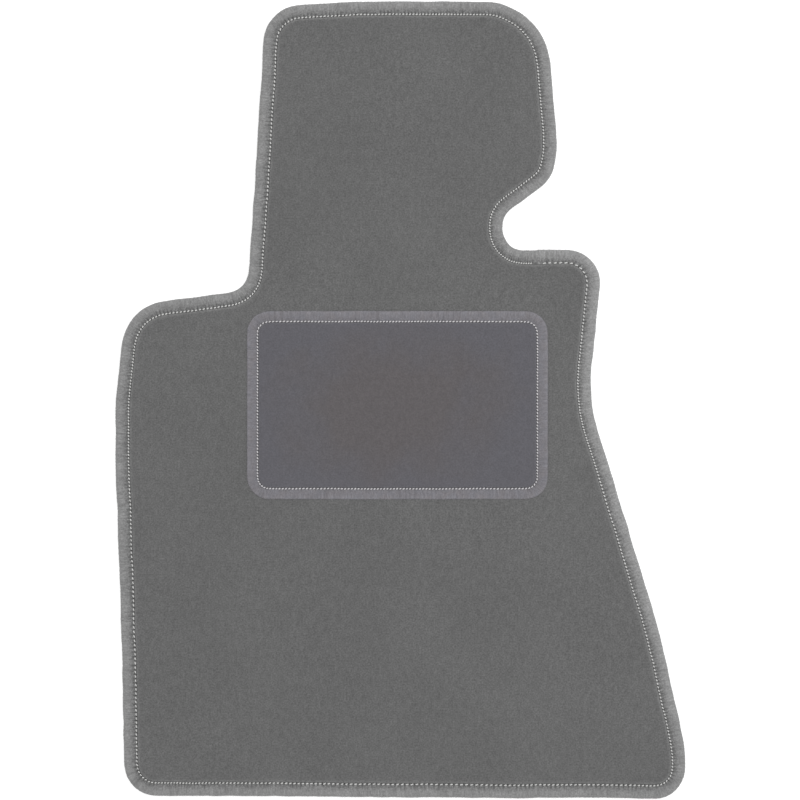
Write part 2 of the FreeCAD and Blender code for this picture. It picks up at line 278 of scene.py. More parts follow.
class Seam:
    """Lockstitch seam along an edge. pitches is a list of (share of the way round, stitch length in mm),
    gap is a stretch over the start that isn't sewn, and rings is how many cross-sections a stitch gets."""

    def __init__(self, edge, inset, pitches, gap, rings):
        self.edge, self.inset, self.gap = edge, inset, gap
        fine = np.arange(0, edge.length, STEP / 2)
        line = edge.place(fine, inset)
        run = np.linalg.norm(np.roll(line, -1, axis=0) - line, axis=1)
        run_along = np.concatenate([[0], np.cumsum(run)])
        self.length = run_along[-1]
        keys, lengths = np.array(pitches).T
        pitch = np.interp(run_along[:-1], keys * self.length, lengths * MM)
        rate = run / pitch
        fine = np.append(fine, edge.length)
        rate[(fine[:-1] < gap / 2) | (fine[:-1] > edge.length - gap / 2)] = 0
        phase = np.concatenate([[0], np.cumsum(rate)])
        self.count = int(round(phase[-1]))
        self.fine, self.phase = fine, phase * self.count / phase[-1]
        # Stitch numbers, and where along the edge each one comes
        inside = (self.phase > 0) & (self.phase < self.count)
        within = self.fine[inside]
        ends = (within[0], within[-1]) if gap else (0, edge.length)
        self.sewn_at = (np.concatenate([[0], self.phase[inside], [self.count]]),
                        np.concatenate([ends[:1], within, ends[1:]]))
        sewn = self.at_phase(np.arange(self.count * rings + (1 if gap else 0)) / rings)
        bare = np.arange(0.5, gap / 2 / BARE_STEP) * BARE_STEP
        self.along = np.unique(np.concatenate([bare, sewn, edge.length - bare]))

    def at_phase(self, phase):
        """Distance along the edge where the seam is this many stitches on."""
        return np.interp(phase, *self.sewn_at)

    def phase_at(self, along):
        """How many stitches on the seam is at a distance along the edge."""
        return np.interp(np.mod(along, self.edge.length), self.fine, self.phase)

    def marks(self, along):
        """Stitch numbers for a map: as phase_at, but halfway between two stitches all along the gap."""
        phase = self.phase_at(along)
        if not self.gap:
            return phase
        return np.where(phase <= 0, -0.5, np.where(phase >= self.count, self.count - 0.5, phase))

    def sewn(self, along):
        """1 where the edge is sewn, 0 in the gap."""
        along = np.mod(along, self.edge.length)
        if not self.gap:
            return np.ones_like(along)
        from_end = np.minimum(along, self.edge.length - along)
        return smoothstep(self.gap / 2 - 2 * STEP, self.gap / 2 + STEP, from_end)

    def draw(self, along):
        """How hard the stitches draw the cloth down: 1 at each needle hole, 0 midway between."""
        phase = self.phase_at(along)
        return self.sewn(along) * (0.5 + 0.5 * np.cos(2 * np.pi * phase))


# ===== Mesh making =====


def raised(points, level):
    """Flat points, raised to one level or to a level each."""
    return np.concatenate([points, np.broadcast_to(level, points.shape[:-1])[..., None]], axis=-1)


def face_map(mesh, name, u, v, round_u, round_v):
    """UV map from one u and v per vertex. round_u and round_v are how far they run before they start
    again, or 0: a face that spans the start is carried on past it."""
    loops = np.empty(len(mesh.loops), dtype=int)
    mesh.loops.foreach_get("vertex_index", loops)
    starts = np.empty(len(mesh.polygons), dtype=int)
    mesh.polygons.foreach_get("loop_start", starts)
    sizes = np.diff(np.append(starts, len(loops)))

    def carried(values, period):
        values = values[loops]
        if period:
            highest = np.repeat(np.maximum.reduceat(values, starts), sizes)
            values = np.where(highest - values > period / 2, values + period, values)
        return values

    layer = mesh.uv_layers.new(name=name)
    pairs = np.stack([carried(u, round_u), carried(v, round_v)], axis=1).astype(np.float32)
    layer.uv.foreach_set("vector", pairs.ravel())


def mesh_piece(name, vertices, faces, slot, replaced, maps=()):
    """Smooth-shaded piece that rides on the mat and stands for CAD nodes."""
    mesh = bpy.data.meshes.new(name)
    mesh.from_pydata(vertices.tolist(), [], faces)
    mesh.polygons.foreach_set("use_smooth", np.ones(len(mesh.polygons), dtype=bool))
    mesh.validate()
    for settings in maps:
        face_map(mesh, *settings)
    mesh.update()
    piece = bpy.data.objects.new(name, mesh)
    bpy.context.scene.collection.objects.link(piece)
    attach(piece, BODY)
    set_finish(piece, slot)
    if replaced:
        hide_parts(*replaced)
    return piece


def tube(name, seam, along, inset, points, slot, replaced, closed):
    """Skin through rings of points, which is rings by points by 3. inset is how far in each point lies."""
    rings, across, _ = points.shape
    last = rings if closed else rings - 1
    i, j = np.repeat(np.arange(last), across), np.tile(np.arange(across), last)
    following, beside = (i + 1) % rings, (j + 1) % across
    faces = np.stack([i * across + j, following * across + j,
                      following * across + beside, i * across + beside], axis=1).tolist()
    if not closed:
        faces += [list(range(across)), list(range(rings * across - 1, (rings - 1) * across - 1, -1))]
    sides = np.linalg.norm(np.roll(points[0], -1, axis=0) - points[0], axis=1)
    girth = np.tile(np.cumsum(sides) - sides[0], rings)
    ring_along = np.repeat(along, across)
    phase = np.repeat(seam.marks(along), across)
    maps = [(ALONG_MAP, ring_along, girth, closed * seam.edge.length, sides.sum()),
            (STITCH_MAP, phase, inset.ravel(), closed * seam.count, 0)]
    return mesh_piece(name, points.reshape(-1, 3), faces, slot, replaced, maps)


# ===== Tapes =====


# Shares of the way from a tape's outer edge to its seam: the crown's middle and spread, and where
# each effect begins and is in full
CROWN_AT = 0.45
CROWN_SPREAD = 0.26
DRAWN = (0.55, 1.0)
PUCKERED = (0.62, 0.97)
CRUMPLED = (0.15, 0.5)
PLEATED = (0.15, 0.7)
# One over the radius of a bend, in metres, where pleats begin and are in full, and how wide a pleat is
# in its noise
PLEATING_BENDS = (12, 40)
PLEAT_WIDTH = 0.16
HOLE_RADIUS = 0.60 * MM
# How far the tape's inner edge springs back up past the seam
SPRING_BACK = 0.25 * MM


def tape_top(tape, seam, along, inset, holes=True):
    """Level of a tape's upper face, drawn down at its seam and puckered between the stitches."""
    share = inset / tape["seam"]
    level = tape["top"] + tape["crown"] * np.exp(-((share - CROWN_AT) / CROWN_SPREAD) ** 2)
    level = level - tape["draw"] * smoothstep(*DRAWN, share)
    level = level + 0.12 * MM * wander_along(along, 14 * MM, 5)
    if holes:
        pulled = seam.draw(along)
        level = level - tape["dimple"] * pulled * np.exp(-((inset - tape["seam"]) / HOLE_RADIUS) ** 2)
        level = level - tape["pucker"] * pulled * smoothstep(*PUCKERED, share)
        level = level + 0.10 * MM * wander_along(along, 2.6 * MM, 3) * smoothstep(*CRUMPLED, share)
        fold = np.abs(wander_along(along + 0.25 * inset, 5.5 * MM, 4))
        tight = smoothstep(*PLEATING_BENDS, seam.edge.bend(along)) * smoothstep(*PLEATED, share)
        level = level - tape["pleat"] * tight * smoothstep(PLEAT_WIDTH, 0.0, fold)
        level = level + SPRING_BACK * smoothstep(1.0, tape["flange"] / tape["seam"], share)
    return level


# Where the points of a tape's cross-section fall, as shares of its flange between the inner edge and
# the fold above, and between the fold and the inner edge below
OVER_SHARES = [0, 0.04, 0.08, 0.13, 0.20, 0.32, 0.50, 0.75]
UNDER_SHARES = [0.5, 0.85, 0.93, 1.0]
FOLD_POINTS = 9
# How far the fold stands out, as a share of half the tape's height
FOLD_FULLNESS = 1.12
# How much the fold stands out between two stitches, and how deep and wide the seam's groove is below
STITCH_PUFF = 0.06 * MM
GROOVE_DEPTH = 0.30 * MM
GROOVE_RADIUS = 0.7 * MM
# How long the lap's free end takes to rise, and its other end to fade out
LAP_RISE = 0.7 * MM
LAP_FADE = 9 * MM


def tape_section(tape, seam, along, lap):
    """Rings of points round a folded tape: over the top, round the fold, under, and back inside.
    Gives the points and how far in each lies."""
    along = along[:, None]
    middle = (tape["top"] + tape["base"]) / 2
    half = (tape["top"] - tape["base"]) / 2
    fold = half * FOLD_FULLNESS
    flange, wall = tape["flange"], tape["thickness"]
    puff = tape["puff"] * (wander_along(along, 11 * MM, 1) + 0.4 * wander_along(along, 3.1 * MM, 2))
    puff = puff + STITCH_PUFF * (1 - 2 * seam.draw(along))

    over = flange - (flange - fold) * np.array([OVER_SHARES])
    bend = np.radians(np.linspace(90, -90, FOLD_POINTS))[None]
    under = fold + (flange - fold) * np.array([UNDER_SHARES])
    back = np.array([[flange, 0.5 * flange, wall * 1.3, wall * 1.3, 0.5 * flange, flange]])
    back_side = np.array([[-1, -1, -0.35, 0.35, 1, 1]])

    groove = GROOVE_DEPTH * np.exp(-((under - tape["seam"]) / GROOVE_RADIUS) ** 2) * seam.sewn(along)
    crest = tape_top(tape, seam, along, fold) - middle
    rise = np.where(np.sin(bend) > 0, crest, half)
    inner_top = tape_top(tape, seam, along, back) - wall
    inner = np.where(back_side > 0.5, inner_top, middle + back_side * (half - wall))

    rows = len(along)
    inset = np.concatenate([np.repeat(over, rows, axis=0), fold * (1 - np.cos(bend)) - puff * np.cos(bend),
                            np.repeat(under, rows, axis=0), np.repeat(back, rows, axis=0)], axis=1)
    height = np.concatenate([tape_top(tape, seam, along, over), middle + rise * np.sin(bend),
                             tape["base"] + groove, inner], axis=1)
    if lap is not None:
        start, finish, step = lap
        cover = smoothstep(finish, finish - LAP_RISE, along) * smoothstep(start, start + LAP_FADE, along)
        bare = np.zeros((1, under.size + back.size))
        outward = np.concatenate([np.zeros(over.shape), np.cos(bend), bare], axis=1)
        upward = np.concatenate([np.ones(over.shape), np.maximum(np.sin(bend), 0), bare], axis=1)
        inset = inset - step * cover * outward
        height = height + step * cover * upward
    flat = seam.edge.place(np.broadcast_to(along, inset.shape), inset)
    return raised(flat, height), inset


# ===== Stitches =====

THREAD_SIDES = 8
STITCH_RINGS = 12
# Share of half a stitch that stays up on the cloth
BEAD_SHARE = 0.34
# How far a stitch slants across the seam, and how far the seam strays
SLANT = 0.36 * MM
STRAY = 0.12 * MM
# Thread's width and height in its round section, pressed a little flat
THREAD_WIDTH = 1.08
THREAD_HEIGHT = 0.92
WHOLE = 1e-9


def stitches(name, seam, radius, level, sink, slot, replaced, underneath=False):
    """Thread that shows as one slanting bead for each stitch and dives through the cloth between them.
    level gives the height of the cloth that it lies on."""
    count, closed = seam.count, not seam.gap
    phase = np.arange(count * STITCH_RINGS + (0 if closed else 1)) / STITCH_RINGS
    along = seam.at_phase(phase)
    bead = np.floor(phase + WHOLE).astype(int) % count
    part = phase - np.floor(phase + WHOLE)
    from_middle = np.abs(2 * part - 1)
    rng = np.random.default_rng(SEED + count)
    slack = rng.uniform(-1, 1, count)
    lean = rng.uniform(0.5, 1.0, count)
    thick = rng.uniform(0.9, 1.1, count)
    size = radius * thick[bead] * (1 - 0.38 * smoothstep(0.30, 0.75, from_middle))
    rise = (0.60 + 0.15 * slack[bead]) * radius * (1 - from_middle ** 2)
    rise = rise - sink * smoothstep(BEAD_SHARE - 0.06, BEAD_SHARE + 0.26, from_middle)
    side = seam.inset - SLANT * lean[bead] * np.sin(2 * np.pi * part)
    side = side + STRAY * wander_along(along, 4 * MM, 9)
    middle = level(along) + (-rise if underneath else rise)

    centre = raised(seam.edge.place(along, side), middle)
    if closed:
        tangent = np.roll(centre, -1, axis=0) - np.roll(centre, 1, axis=0)
    else:
        tangent = np.gradient(centre, axis=0)
    tangent /= np.linalg.norm(tangent, axis=1, keepdims=True)
    sideways = np.cross(tangent, np.array([0, 0, 1.0]))
    sideways /= np.linalg.norm(sideways, axis=1, keepdims=True)
    upward = np.cross(sideways, tangent)
    turn = 2 * np.pi * np.arange(THREAD_SIDES) / THREAD_SIDES
    ring = (np.cos(turn)[:, None] * sideways[:, None, :] * THREAD_WIDTH
            + np.sin(turn)[:, None] * upward[:, None, :] * THREAD_HEIGHT)
    points = centre[:, None, :] + ring * size[:, None, None]
    inset = np.repeat(side[:, None], THREAD_SIDES, axis=1)
    return tube(name, seam, along, inset, points, slot, replaced, closed)


# ===== Piles and sheets =====

# Height of a row of a net of even triangles, as a share of their side
ROW_SHARE = 0.866
# Rings that thin a pile's net out inside its seam: every how many points, and how far past the last
# ring of quads. The even net starts further in.
NET_RINGS = ((2, 1.6 * MM), (3, 3.8 * MM))
NET_START = 5.6 * MM


def strips(rows, count):
    """Quads between rings of points, each with the same count."""
    k = np.arange(count)
    ahead = (k + 1) % count
    return np.vstack([np.stack([k, ahead, count + ahead, count + k], axis=1) + row * count
                      for row in range(rows - 1)])


def inside_grid(edge, step, inset):
    """Grid of points at least an inset inside an edge."""
    lowest, highest = edge.points.min(axis=0), edge.points.max(axis=0)
    x = np.arange(lowest[0], highest[0], step)
    y = np.arange(lowest[1], highest[1], step * ROW_SHARE)
    grid = np.stack(np.meshgrid(x, y, indexing="xy"), axis=-1)
    grid[1::2, :, 0] += step / 2
    grid = grid.reshape(-1, 2)
    return grid[edge.nearest(grid)[1] > inset]


def pile(name, seam, insets, height, base, grid_step, extra, keep, slot, replaced):
    """Closed carpet pile: rings of quads along the seam, then a fine net over the middle.
    height gives the level of points, and extra holds more points where the net needs them."""
    edge, along = seam.edge, seam.along
    rings = [edge.place(along, inset) for inset in insets]
    count = len(along)
    free = [edge.place(along[::every], insets[-1] + further) for every, further in NET_RINGS]
    grid = inside_grid(edge, grid_step, insets[-1] + NET_START)
    net_points = np.vstack([rings[-1]] + free + [grid[keep(grid)], extra])
    links = [(k, (k + 1) % count) for k in range(count)]
    placed, _, faces, origin, _, _ = delaunay_2d_cdt(
        [Vector(p) for p in net_points], links, [list(range(count))], 1, 1e-7)
    placed = np.array([tuple(p) for p in placed])
    last_ring = (len(rings) - 1) * count
    number = np.full(len(placed), -1)
    vertices = [raised(ring, height(ring)) for ring in rings]
    inner_of = {source: k for k, sources in enumerate(origin) for source in sources if source < count}
    for source, k in inner_of.items():
        number[k] = last_ring + source
    fresh = np.flatnonzero(number < 0)
    total = len(rings) * count
    number[fresh] = total + np.arange(len(fresh))
    vertices.append(raised(placed[fresh], height(placed[fresh])))
    total += len(fresh)
    vertices.append(raised(rings[0], base))
    net = [[int(number[v]) for v in face] for face in faces]
    k = np.arange(count)
    ahead = (k + 1) % count
    wall = np.stack([total + k, total + ahead, ahead, k], axis=1)
    faces = np.vstack([strips(len(rings), count), wall]).tolist() + net + [(total + k[::-1]).tolist()]
    vertices = np.vstack(vertices)
    near, deep = edge.nearest(vertices[:, :2])
    maps = [(STITCH_MAP, seam.marks(near), deep, seam.count, 0)]
    return mesh_piece(name, vertices, faces, slot, replaced, maps)


def plain_sheet(name, edge, inset, base, top, slot, replaced, step):
    """Flat sheet with a softly rounded rim, that fills an edge down to an inset."""
    along = np.arange(0, edge.length, step)
    rim = min(0.3 * MM, (top - base) / 3)
    rows = [(inset + rim, base), (inset, base + rim), (inset, top - rim), (inset + rim, top)]
    count = len(along)
    rings = [raised(edge.place(along, row_inset), level) for row_inset, level in rows]
    k = np.arange(count)
    faces = strips(len(rows), count).tolist() + [k[::-1].tolist(), ((len(rows) - 1) * count + k).tolist()]
    return mesh_piece(name, np.vstack(rings), faces, slot, replaced)


# ===== The edges and seams of this mat =====

# The tape's ends meet on the rear lip of the pedal notch, and the seam starts and ends there.
# Only the lap stands more than a little above the tape's top.
LAP_CLEAR = 0.2 * MM
lap_points = np.array([v.co for v in frame["nodes"]["edge_binding"].data.vertices])
lap_points = lap_points[lap_points[:, 2] > TAPE["top"] + LAP_CLEAR]
LAP_STEP = lap_points[:, 2].max() - TAPE["top"]
LAP_END = (lap_points[:, 0].min(), lap_points[:, 1].max())
LAP_START = (lap_points[:, 0].max(), lap_points[:, 1].max())

mat_edge = Edge("primary_backing", TAPE["thickness"], LAP_END, 0.48 * MM)
pad_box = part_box("heel_pad_binding")
pad_edge = Edge("heel_pad_backing", PAD_TAPE["thickness"], (pad_box[1].x, (pad_box[0].y + pad_box[1].y) / 2),
                0.15 * MM)

# Stitch lengths in millimetres along each seam, by the share of the way round: the sewer slows
# into the tight corners, where the stitches are short, and runs on faster along the straights
mat_seam = Seam(mat_edge, TAPE["seam"], [
    (0.00, 2.2), (0.02, 2.5), (0.05, 3.0), (0.08, 3.0), (0.11, 3.4), (0.15, 2.9), (0.18, 3.4), (0.25, 3.6),
    (0.30, 3.9), (0.32, 2.8), (0.35, 3.7), (0.38, 2.9), (0.42, 2.9), (0.45, 3.7), (0.48, 4.2), (0.51, 4.2),
    (0.55, 3.5), (0.57, 2.8), (0.60, 3.7), (0.66, 4.5), (0.69, 4.8), (0.71, 4.0), (0.75, 4.4), (0.77, 2.9),
    (0.80, 3.3), (0.87, 3.4), (0.885, 3.7), (0.91, 2.6), (0.94, 2.9), (0.96, 3.2), (0.975, 4.1), (0.985, 5.1),
    (1.00, 5.1)], gap=8.5 * MM, rings=4)
pad_seam = Seam(pad_edge, PAD_TAPE["seam"], [
    (0.00, 3.0), (0.06, 2.7), (0.12, 3.4), (0.16, 3.4), (0.22, 2.9), (0.30, 3.0), (0.38, 3.4), (0.44, 2.8),
    (0.55, 3.0), (0.59, 2.6), (0.64, 3.4), (0.72, 3.0), (0.80, 3.1), (0.88, 3.4), (0.92, 2.7), (1.00, 3.0)],
                gap=0, rings=4)

lap_from = mat_edge.nearest(np.array([LAP_START]))[0][0]
LAP = (lap_from, mat_edge.length, LAP_STEP)


def folded_tape(name, tape, seam, lap, slot, replaced):
    points, inset = tape_section(tape, seam, seam.along, lap)
    return tube(name, seam, seam.along, inset, points, slot, replaced, True)


edge_tape = folded_tape("edge_tape", TAPE, mat_seam, LAP, "edge_tape", ["edge_binding"])
pad_tape = folded_tape("heel_pad_tape", PAD_TAPE, pad_seam, None, "pad_tape", ["heel_pad_binding"])


def lifted(tape, inset, reach):
    """How far a pile stands up past its tape: 0 at the tape, 1 a reach further in, and fast at first."""
    lift = np.clip((inset - tape["flange"] + 0.1 * MM) / reach, 0, 1)
    return 1 - (1 - lift) ** 6


def tucked(tape, seam, along, inset, reach):
    """How hard each stitch pulls down the pile inside it."""
    beside = np.exp(-((inset - tape["seam"]) / reach) ** 2)
    return seam.draw(along) * beside * (inset > tape["seam"])


def mat_height(points):
    """Level of the carpet's face: low at the seam, full in the field, pressed under the heel pad."""
    along, inset = mat_edge.nearest(points)
    _, pad_inset = pad_edge.nearest(points)
    lift = lifted(TAPE, inset, 3.6 * MM)
    valley = PILE_BASE + 0.3 * MM
    level = valley + (PILE_TOP - valley) * lift
    level = level - 0.35 * MM * tucked(TAPE, mat_seam, along, inset, 1.9 * MM)
    level = level + lift * (0.30 * MM * wander(points, 90 * MM) + 0.10 * MM * wander(points, 24 * MM)
                            + 0.05 * MM * wander(points, 5 * MM))
    press = smoothstep(0.3 * MM, 1.4 * MM, pad_inset)
    return level * (1 - press) + (PAD_BASE - 0.25 * MM) * press


def pad_height(points):
    """Level of the heel pad's face, a little crowned between its seams."""
    along, inset = pad_edge.nearest(points)
    lift = lifted(PAD_TAPE, inset, 2.6 * MM)
    valley = PAD_PILE_BASE + 0.1 * MM
    level = valley + (PAD_PILE_TOP - valley) * lift
    tuck = tucked(PAD_TAPE, pad_seam, along, inset, 1.5 * MM)
    crown = 0.35 * MM * (1 - np.exp(-np.clip(inset - PAD_TAPE["seam"], 0, None) / (22 * MM)))
    uneven = 0.10 * MM * wander(points, 30 * MM) + 0.03 * MM * wander(points, 4 * MM)
    return level - 0.25 * MM * tuck + crown + lift * uneven


pad_along = np.arange(0, pad_edge.length, 1.8 * MM)
around_pad = np.vstack([pad_edge.place(pad_along, inset * MM)
                        for inset in (-4.0, -2.2, -0.9, -0.1, 0.4, 0.9, 1.4, 2.6)])
carpet = pile("carpet_face", mat_seam, [inset * MM for inset in (11.2, 13.1, 13.3, 13.5, 13.9, 14.6, 15.7)],
              mat_height, PILE_BASE, 2.3 * MM, around_pad,
              lambda grid: np.abs(pad_edge.nearest(grid)[1] + 0.7 * MM) > 4.6 * MM, "velour", ["velour_pile"])
pad_face = pile("heel_pad_face", pad_seam, [inset * MM for inset in (9.0, 10.6, 10.8, 11.05, 11.5, 12.4)],
                pad_height, PAD_PILE_BASE, 1.7 * MM, np.empty((0, 2)),
                lambda grid: np.ones(len(grid), dtype=bool), "pad_velour", ["heel_pad_pile"])

# How far inside the tapes' outer edges the sheets end, the gap left between two sheets, and how
# closely their outlines are followed
SHEET_INSET = 1.4 * MM
PAD_SHEET_INSET = 1.0 * MM
SHEET_GAP = 0.02 * MM
SHEET_STEP = 1.5 * MM
NIB_HEIGHT = 0.9 * MM
backing = plain_sheet("primary_backing_sheet", mat_edge, SHEET_INSET, BACKING_BASE + SHEET_GAP,
                      BACKING_TOP - SHEET_GAP, "primary_backing", ["primary_backing"], SHEET_STEP)
pad_backing = plain_sheet("heel_pad_backing_sheet", pad_edge, PAD_SHEET_INSET,
                          low("heel_pad_backing") + PAD_TAPE["thickness"] + SHEET_GAP,
                          PAD_PILE_BASE - SHEET_GAP, "pad_backing", ["heel_pad_backing"], SHEET_STEP)
grip = plain_sheet("grip_sheet", mat_edge, SHEET_INSET, NIB_HEIGHT + SHEET_GAP, GRIP_TOP - SHEET_GAP,
                   "grip_sheet", ["grip_backing"], SHEET_STEP)


def nibs(name, pitch, foot, tip, slot):
    """Small blunt studs all over the underside, clear of the tape and of the heel pad's seam."""
    places = inside_grid(mat_edge, pitch, TAPE["flange"] + 2.2 * MM)
    clear = np.abs(pad_edge.nearest(places)[1] - PAD_TAPE["seam"]) > foot + 0.6 * MM
    places = places[clear]
    sides = 6
    turn = 2 * np.pi * np.arange(sides) / sides
    circle = np.stack([np.cos(turn), np.sin(turn)], axis=1)
    rows = [(foot, NIB_HEIGHT + 0.1 * MM), (foot * 0.82, NIB_HEIGHT * 0.45), (tip, 0.0)]
    rings = [raised(places[:, None, :] + circle * radius, level) for radius, level in rows]
    vertices = np.concatenate(rings, axis=1).reshape(-1, 3)
    k = np.arange(sides)
    base = np.arange(len(places)) * len(rows) * sides
    # The rows run downwards, so the quads are turned over
    quads = strips(len(rows), sides)[:, ::-1]
    faces = (base[:, None, None] + quads).reshape(-1, 4).tolist()
    faces += (base[:, None] + k).tolist()
    faces += (base[:, None] + (len(rows) - 1) * sides + k[::-1]).tolist()
    return mesh_piece(name, vertices, faces, slot, [])


grip_nibs = nibs("grip_nibs", 8 * MM, 1.6 * MM, 1.0 * MM, "grip_sheet")

THREAD_RADIUS = 0.55 * MM
BOBBIN_RADIUS = 0.3 * MM
BOBBIN_SINK = 0.5 * MM


def lockstitch(name, tape, seam, sink, level_below, slot, nodes):
    """Needle thread that bulges up between its holes, and below it a bobbin thread that is pulled tight."""
    needle = stitches(name, seam, THREAD_RADIUS, lambda along: tape_top(tape, seam, along, seam.inset, False),
                      sink, slot, nodes[:1])
    stitches(name + "_below", seam, BOBBIN_RADIUS, lambda along: level_below, BOBBIN_SINK, slot, nodes[1:],
             underneath=True)
    return needle


edge_needle = lockstitch("edge_stitches", TAPE, mat_seam, 1.5 * MM, 0.50 * MM, "edge_thread",
                         ["edge_needle_thread", "edge_bobbin_thread"])
pad_needle = lockstitch("heel_pad_stitches", PAD_TAPE, pad_seam, 1.2 * MM, NIB_HEIGHT, "pad_thread",
                        ["heel_pad_needle_thread", "heel_pad_bobbin_thread"])

# ===== Materials =====


# How bright a plain white sheet is in the studio light
STUDIO_LIGHT = 1.42
# What most of a noise texture's values lie between
NOISE_LOW = 0.3
NOISE_HIGH = 0.7


def linear(level):
    """Linear value of an sRGB level from 0 to 255."""
    level = level / 255
    return level / 12.92 if level <= 0.04045 else ((level + 0.055) / 1.055) ** 2.4


def colour(red, green, blue):
    """Colour of a cloth that shows at these sRGB levels under the studio light."""
    return tuple(linear(level) / STUDIO_LIGHT for level in (red, green, blue)) + (1.0,)


def grey(level):
    return (level, level, level, 1)


def darker(shade, share):
    return tuple(channel * share for channel in shade[:3]) + (1.0,)


class Shader:
    """Node tree of one material, built a node at a time."""

    def __init__(self, name):
        self.material = bpy.data.materials.new(name)
        self.material.use_nodes = True
        self.tree = self.material.node_tree
        self.surface = self.tree.nodes["Principled BSDF"]

    def node(self, kind, inputs=(), **settings):
        made = self.tree.nodes.new("ShaderNode" + kind)
        for key, value in settings.items():
            setattr(made, key, value)
        for key, value in dict(inputs).items():
            self.set(made, key, value)
        return made

    def set(self, node, key, value):
        """Gives an input a plain value, or links another node's output to it."""
        if isinstance(value, bpy.types.NodeSocket):
            self.tree.links.new(value, node.inputs[key])
        else:
            node.inputs[key].default_value = value

    def finish(self, **inputs):
        """Sets the surface's inputs, with spaces for their underscores, and gives the material."""
        for key, value in inputs.items():
            self.set(self.surface, key.replace("_", " "), value)
        return self.material

    def place(self):
        return self.node("TexCoord").outputs["Object"]

    def map(self, name):
        return self.node("UVMap", {}, uv_map=name).outputs["UV"]

    def split(self, vector):
        return self.node("SeparateXYZ", {0: vector}).outputs

    def noise(self, vector, size, detail=2.0, roughness=0.5):
        """Noise with lumps about this size."""
        return self.node("TexNoise", {"Vector": vector, "Scale": 1 / size, "Detail": detail,
                                      "Roughness": roughness}).outputs["Fac"]

    def wave(self, vector, period, direction, distortion, **more):
        """Bands that repeat over a period."""
        scale = 2 * np.pi / (20 * period)
        inputs = {"Vector": vector, "Scale": scale, "Distortion": distortion}
        inputs.update({key.replace("_", " "): value for key, value in more.items()})
        return self.node("TexWave", inputs, bands_direction=direction).outputs["Fac"]

    def math(self, operation, a, b=0.0):
        return self.node("Math", {0: a, 1: b}, operation=operation).outputs[0]

    def off(self, value, middle):
        """How far a value is from a middle, to either side."""
        return self.math("ABSOLUTE", self.math("SUBTRACT", value, middle))

    def between(self, value, start, finish, low_value=0.0, high_value=1.0):
        """Value that runs between two others while an input runs from a start to a finish."""
        return self.node("MapRange", {"Value": value, "From Min": start, "From Max": finish,
                                      "To Min": low_value, "To Max": high_value}).outputs[0]

    def spread(self, factor, low_value, high_value):
        """Value that runs between two others as a noise does between its usual values."""
        return self.between(factor, NOISE_LOW, NOISE_HIGH, low_value, high_value)

    def ramp(self, factor, *stops):
        """Colour that runs through stops of (factor, colour)."""
        ramp = self.node("ValToRGB", {"Fac": factor}).outputs["Color"]
        elements = ramp.node.color_ramp.elements
        while len(elements) < len(stops):
            elements.new(1.0)
        for element, (position, shade) in zip(elements, stops):
            element.position = position
            element.color = shade
        return ramp

    def uneven(self, factor, spread):
        """Brightness multiplier around 1, from a noise."""
        return self.ramp(factor, (NOISE_LOW, grey(1 - spread)), (NOISE_HIGH, grey(1 + spread)))

    def mix(self, factor, a, b, blend="MIX"):
        made = self.node("Mix", {}, data_type="RGBA", blend_type=blend)
        self.set(made, 0, factor)
        self.set(made, 6, a)
        self.set(made, 7, b)
        return made.outputs[2]

    def times(self, a, b, factor=None):
        """One colour times another, in full or by a factor."""
        product = self.mix(1.0, a, b, "MULTIPLY")
        return product if factor is None else self.mix(factor, a, product)

    def scaled(self, vector, x, y, z):
        return self.node("VectorMath", {0: vector, 1: (x, y, z)}, operation="MULTIPLY").outputs[0]

    def bump(self, height, distance, strength=1.0, normal=None):
        made = self.node("Bump", {"Height": height, "Distance": distance, "Strength": strength})
        if normal is not None:
            self.set(made, "Normal", normal)
        return made.outputs["Normal"]


def velour(name, base, cloud, cloud_size, grain, rim, heart=None):
    """Cut pile: fine tuft grain, soft nap streaks, and broad clouds of colour.
    rim is (where the nap starts inside the edge, how far its lighter strip runs, how much lighter it is):
    painted light over the valley beside the tape, where shade falls.
    heart is (x, y, radius): the base colour gathers there, and the cloud colour outside it."""
    shader = Shader(name)
    place = shader.place()
    tufts = shader.noise(place, 1.5 * MM, 2.0, 0.65)
    nap = shader.noise(shader.scaled(place, 1.0, 0.55, 1.0), 4.2 * MM, 3.0, 0.6)
    broad = shader.noise(place, cloud_size, 3.0, 0.55)
    if heart:
        x, y, radius = heart
        stretch = 1.6
        flat = shader.scaled(place, 1.0, stretch, 0.0)
        away = shader.node("VectorMath", {0: flat, 1: (x, y * stretch, 0.0)}, operation="DISTANCE")
        ring = shader.math("MULTIPLY", shader.math("DIVIDE", away.outputs["Value"], radius), 0.30)
        broad = shader.math("ADD", ring, shader.math("MULTIPLY", broad, 0.4))
    shade = shader.ramp(broad, (0.38, base), (0.62, cloud))
    shade = shader.times(shade, shader.uneven(tufts, grain))
    shade = shader.times(shade, shader.uneven(nap, grain * 0.35))
    start, width, lighter = rim
    # Painted light: a lighter strip just inside the tape that fills in the shade of the valley there
    inset = shader.split(shader.map(STITCH_MAP))["Y"]
    rim_light = shader.math("POWER", shader.between(inset, start, start + width, 1.0, 0.0), 2.0)
    shade = shader.times(shade, grey(lighter), rim_light)
    fine = shader.bump(tufts, 0.45 * MM, 0.6)
    return shader.finish(Base_Color=shade, Roughness=shader.spread(tufts, 0.86, 1.0),
                         Specular_IOR_Level=0.15, Sheen_Weight=0.25, Sheen_Roughness=0.6,
                         Normal=shader.bump(nap, 0.8 * MM, 0.35, fine))


